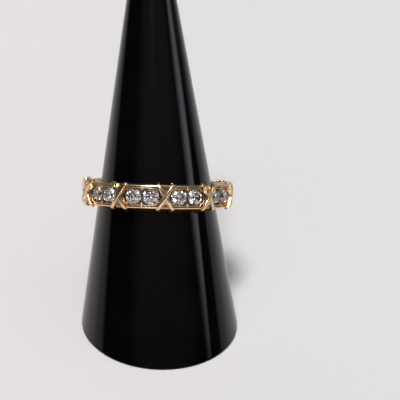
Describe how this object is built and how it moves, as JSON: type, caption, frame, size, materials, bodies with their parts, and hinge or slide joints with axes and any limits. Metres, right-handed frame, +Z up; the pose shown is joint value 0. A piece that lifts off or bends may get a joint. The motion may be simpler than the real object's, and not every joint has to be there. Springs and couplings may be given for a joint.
{
  "type": "diamond band ring on display cone",
  "caption": "Gold band with paired round diamonds in channel cells between raised crossover bars, standing on a slanted black display cone.",
  "frame": {"origin": "centre of the cone's oval foot, on the surface it stands on", "axes": "+Z up, the front of the ring toward -Y, the cone's axis leaning back toward +Y"},
  "size_m": [0.0228, 0.0373, 0.049],
  "materials": {
    "gold": "polished yellow gold with fine wear scratches",
    "black_gloss": "glossy black acrylic",
    "diamond": "clear cut stone, faceted and polished"
  },
  "bodies": {
    "root": {"band": "gold", "cone_stand": "black_gloss", "diamond_01": "diamond", "diamond_02": "diamond", "diamond_03": "diamond", "diamond_04": "diamond", "diamond_05": "diamond", "diamond_06": "diamond", "diamond_07": "diamond", "diamond_08": "diamond", "diamond_09": "diamond", "diamond_10": "diamond", "diamond_11": "diamond", "diamond_12": "diamond", "diamond_13": "diamond", "diamond_14": "diamond", "diamond_15": "diamond", "diamond_16": "diamond", "diamond_17": "diamond", "diamond_18": "diamond", "diamond_19": "diamond", "diamond_20": "diamond"}
  },
  "joints": []
}
